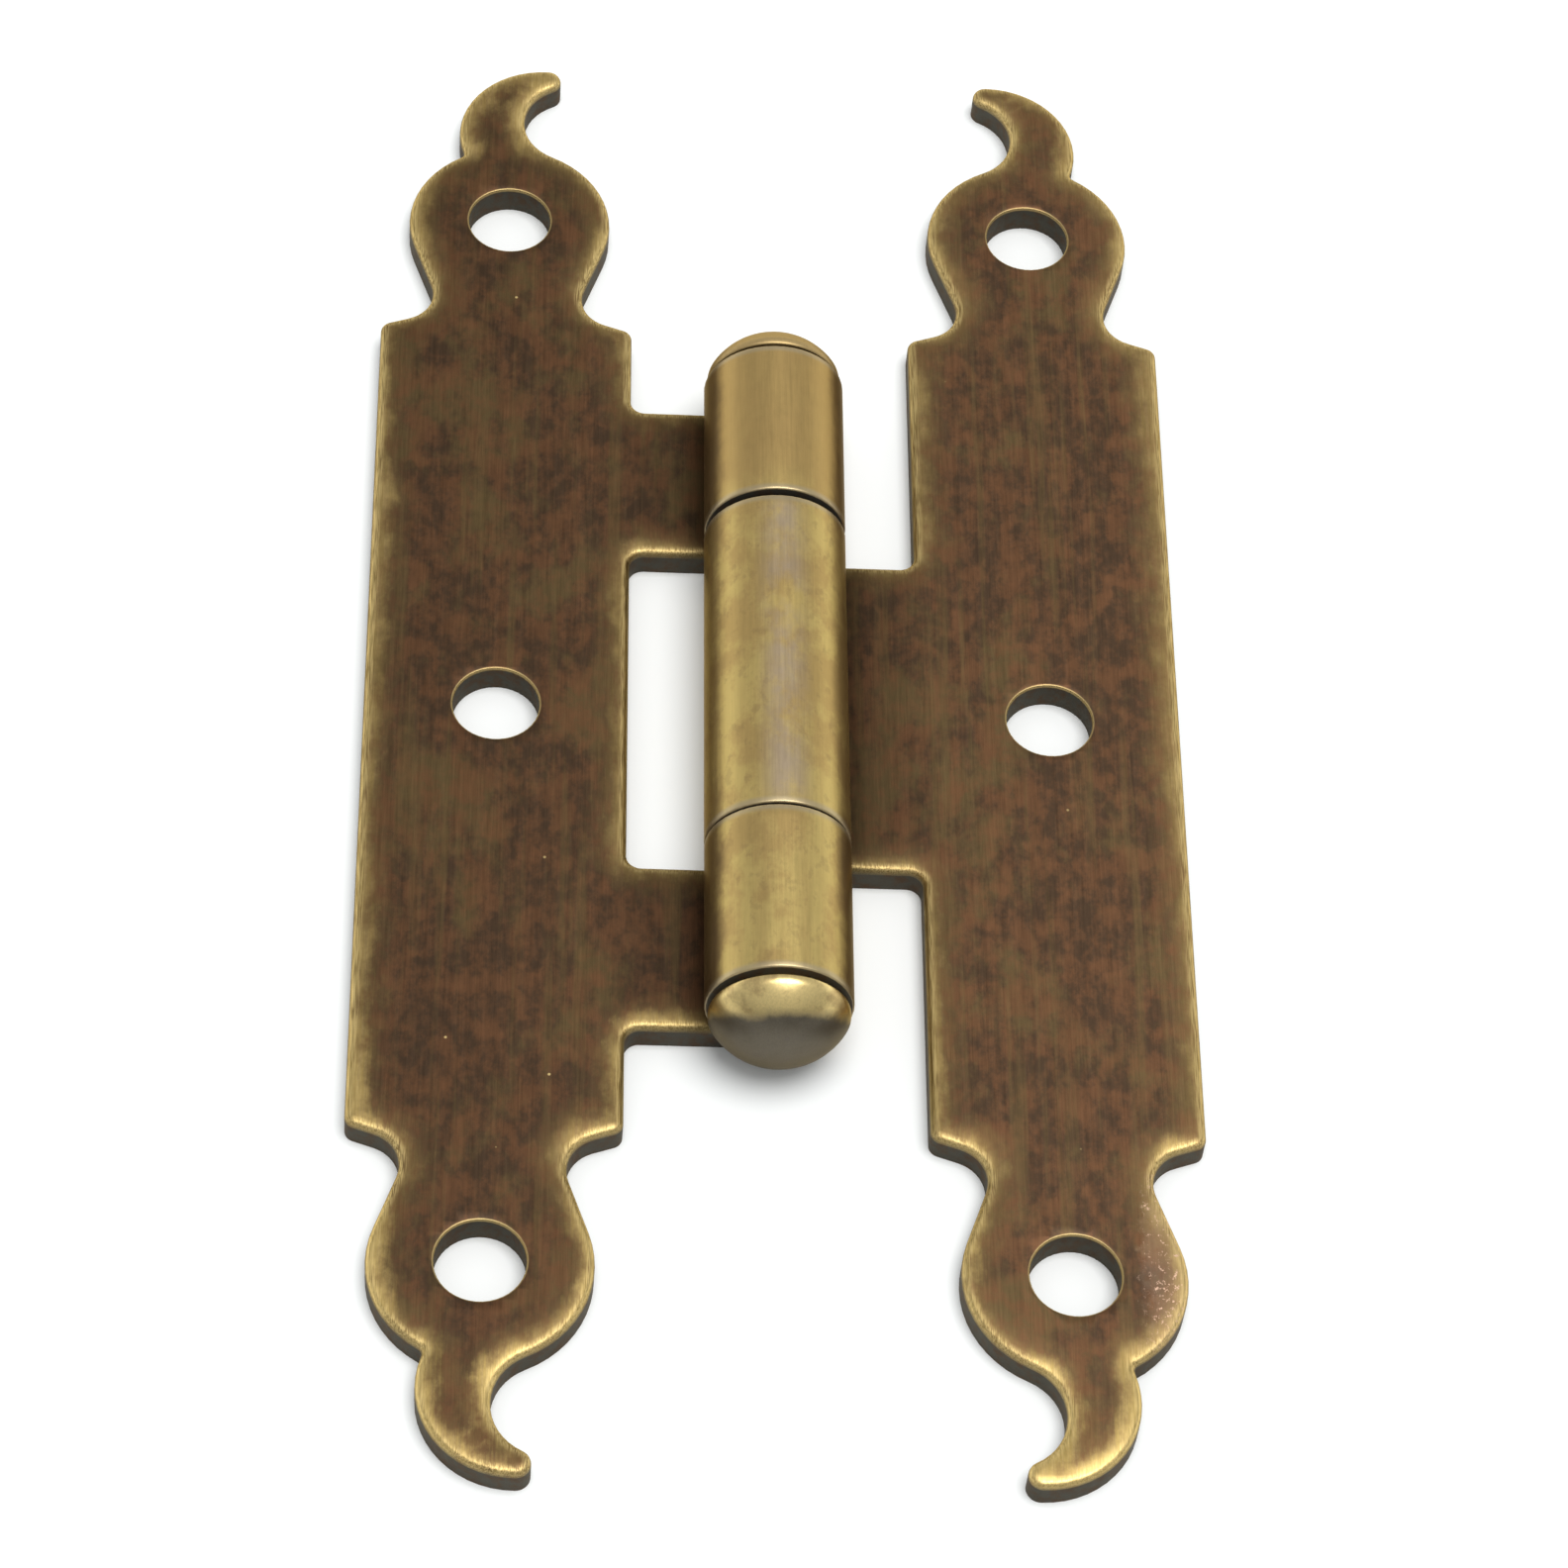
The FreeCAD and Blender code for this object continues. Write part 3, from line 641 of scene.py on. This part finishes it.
def capMesh(name, node, outward, shape):
    low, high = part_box(node)
    radius = (high.x - low.x) / 2
    seat, top = (low.y, high.y) if outward > 0 else (high.y, low.y)
    groove = seat + outward * shape["neck"]
    rim = seat + outward * (shape["neck"] + shape["land"])
    dome = abs(top - rim)
    ball = (radius ** 2 + dome ** 2) / (2 * dome)

    # profile from the crown down to the seat, then turned about the pin
    bm = bmesh.new()
    crown = bm.verts.new((0, top, axisHeight))
    arc = bmesh.ops.spin(bm, geom=[crown], cent=(0, top - outward * ball, axisHeight),
                         axis=(0, 0, -outward), dvec=(0, 0, 0), angle=math.asin(radius / ball),
                         steps=shape["domeSteps"], use_merge=False)
    last = arc["geom_last"][0]
    for x, y in ((radius, groove), (shape["neckRadius"], groove), (shape["neckRadius"], seat), (0, seat)):
        last = bmesh.ops.extrude_vert_indiv(bm, verts=[last])["verts"][0]
        last.co = Vector((x, y, axisHeight))
    bmesh.ops.spin(bm, geom=bm.verts[:] + bm.edges[:], cent=(0, 0, axisHeight), axis=(0, 1, 0),
                   dvec=(0, 0, 0), angle=math.tau, steps=shape["turns"], use_merge=True)
    bmesh.ops.remove_doubles(bm, verts=bm.verts, dist=tiny)
    bmesh.ops.recalc_face_normals(bm, faces=bm.faces)

    shoulders = [edge for edge in bm.edges if edge.calc_face_angle(0) > shape["shoulderAngle"]
                 and all(math.hypot(v.co.x, v.co.z - axisHeight) > radius - onLine for v in edge.verts)]
    soften(bm, shoulders, shape["shoulder"], 3)
    return finishedMesh(bm, name)


capFinish = polishedCap("polished aged brass", turnedBrass)
for word, outward in (("upper", 1), ("lower", -1)):
    mesh = capMesh("domed_cap_" + word, word + "_cap", outward, capShape)
    newPiece("domed_cap_" + word, mesh, capFinish, "frame_leaf", word + "_cap")
    print("cap", word, len(mesh.polygons), "faces")


# pin

drawnWire = {
    "steel": (0.42, 0.40, 0.36),
    "stain": (0.16, 0.12, 0.09),
    "noises": {
        "lines": {"perMm": (12.0, 0.3, 12.0)},
        "cloud": {"perMm": (0.6, 0.4, 0.6), "detail": 4.0},
    },
    "stainClouds": (0.4, 0.7),
    "drawing": {"base": 0.70, "lines": 0.60},
    "roughness": {"base": 0.30, "lines": 0.15},
    "metallic": {"base": 0.95, "cloud": -0.10},
    "bumpDepth": 3e-6,
}


def wireSteel(name, look):
    f = Finish(bpy.data.materials.new(name))
    noises = f.grains(look["noises"])
    colour = f.blend(noises["cloud"].rising(*look["stainClouds"]), look["steel"], look["stain"])
    colour = f.scaled(colour, weighed(noises, look["drawing"]))
    rough, metallic = (weighed(noises, look[word]) for word in ("roughness", "metallic"))
    return f.metal(colour, rough, metallic, noises["lines"], look["bumpDepth"])


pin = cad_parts["hinge_pin"]
pin.data.materials.clear()
pin.data.materials.append(wireSteel("drawn steel wire", drawnWire))
print("pin finished")


# floor, light and camera

studio = {
    "floorReach": 2,                  # metres to each side
    "floorColour": (0.93, 0.94, 0.93),
    "paperClouds": (0.05, 0.05, 0.05),
    "paperTone": {"base": 0.99, "clouds": 0.02},
    "paperFibres": (2, 2, 2),
    "paperRoughness": 0.75,
    "paperDepth": 1e-6,
    "skyTint": (0.97, 0.99, 1, 1),
    "skyStrength": 0.60,
    "horizonGlow": 1.1,               # of the tent's walls, left, right and behind
    "glowHeight": (0.42, 0.04),       # directions from -1 to 1: none, full
    "glowDepth": (-0.25, 0.15),
    "darkSide": 0.50,                 # how much darker it is on the camera's side
    "darkDepth": (-0.15, -0.75),
    "darkHeight": (0.60, 0.20),
    "keyStrength": 2.1,
    "keyAngle": math.radians(40),
    "keyTilt": (math.radians(4), math.radians(8), 0),    # from straight overhead
    "focalLength": 121.15,
    "sensorWidth": 36,
    "nearestSeen": 0.01,              # metres
    "eye": (-13.36 * mm, -144.03 * mm, 196.18 * mm),
    "right": (0.997887, -0.008863, 0.064362),
    "down": (0.030321, -0.812622, -0.582002),
    "forward": (0.057460, 0.582724, -0.810636),
}

floorMesh = bmesh.new()
bmesh.ops.create_grid(floorMesh, x_segments=2, y_segments=2, size=studio["floorReach"])
floor = addObject("floor", finishedMesh(floorMesh, "floor"))
f = Finish(bpy.data.materials.new("pale paper"))
clouds = f.grain(studio["paperClouds"])
paper = f.scaled(studio["floorColour"], weighed({"clouds": clouds}, studio["paperTone"]))
fibres = f.grain(studio["paperFibres"])
floor.data.materials.append(f.metal(paper, studio["paperRoughness"], 0.0, fibres, studio["paperDepth"]))

world = bpy.data.worlds.new("studio tent")
bpy.context.scene.world = world
f = Finish(world, coordinates="Generated")
glow = f.z.size().rising(*studio["glowHeight"]) * f.y.rising(*studio["glowDepth"])
gloom = f.y.rising(*studio["darkDepth"]) * f.z.rising(*studio["darkHeight"])
light = (studio["skyStrength"] + glow * studio["horizonGlow"]) * (1 - gloom * studio["darkSide"])
backdrop = f.node("ShaderNodeBackground", sockets={"Color": studio["skyTint"], "Strength": light})
f.node("ShaderNodeOutputWorld", sockets={"Surface": backdrop})

key = bpy.data.lights.new("overhead softbox", "SUN")
key.energy = studio["keyStrength"]
key.angle = studio["keyAngle"]
addObject("overhead softbox", key).rotation_euler = studio["keyTilt"]

lens = bpy.data.cameras.new("camera")
lens.lens = studio["focalLength"]
lens.sensor_width = studio["sensorWidth"]
lens.clip_start = studio["nearestSeen"]
camera = addObject("camera", lens)
turn = Matrix((studio["right"], [-n for n in studio["down"]], [-n for n in studio["forward"]])).transposed()
camera.matrix_world = Matrix.Translation(studio["eye"]) @ turn.to_4x4()
bpy.context.scene.camera = camera
bpy.context.scene.view_settings.view_transform = "Standard"
print("stage set")
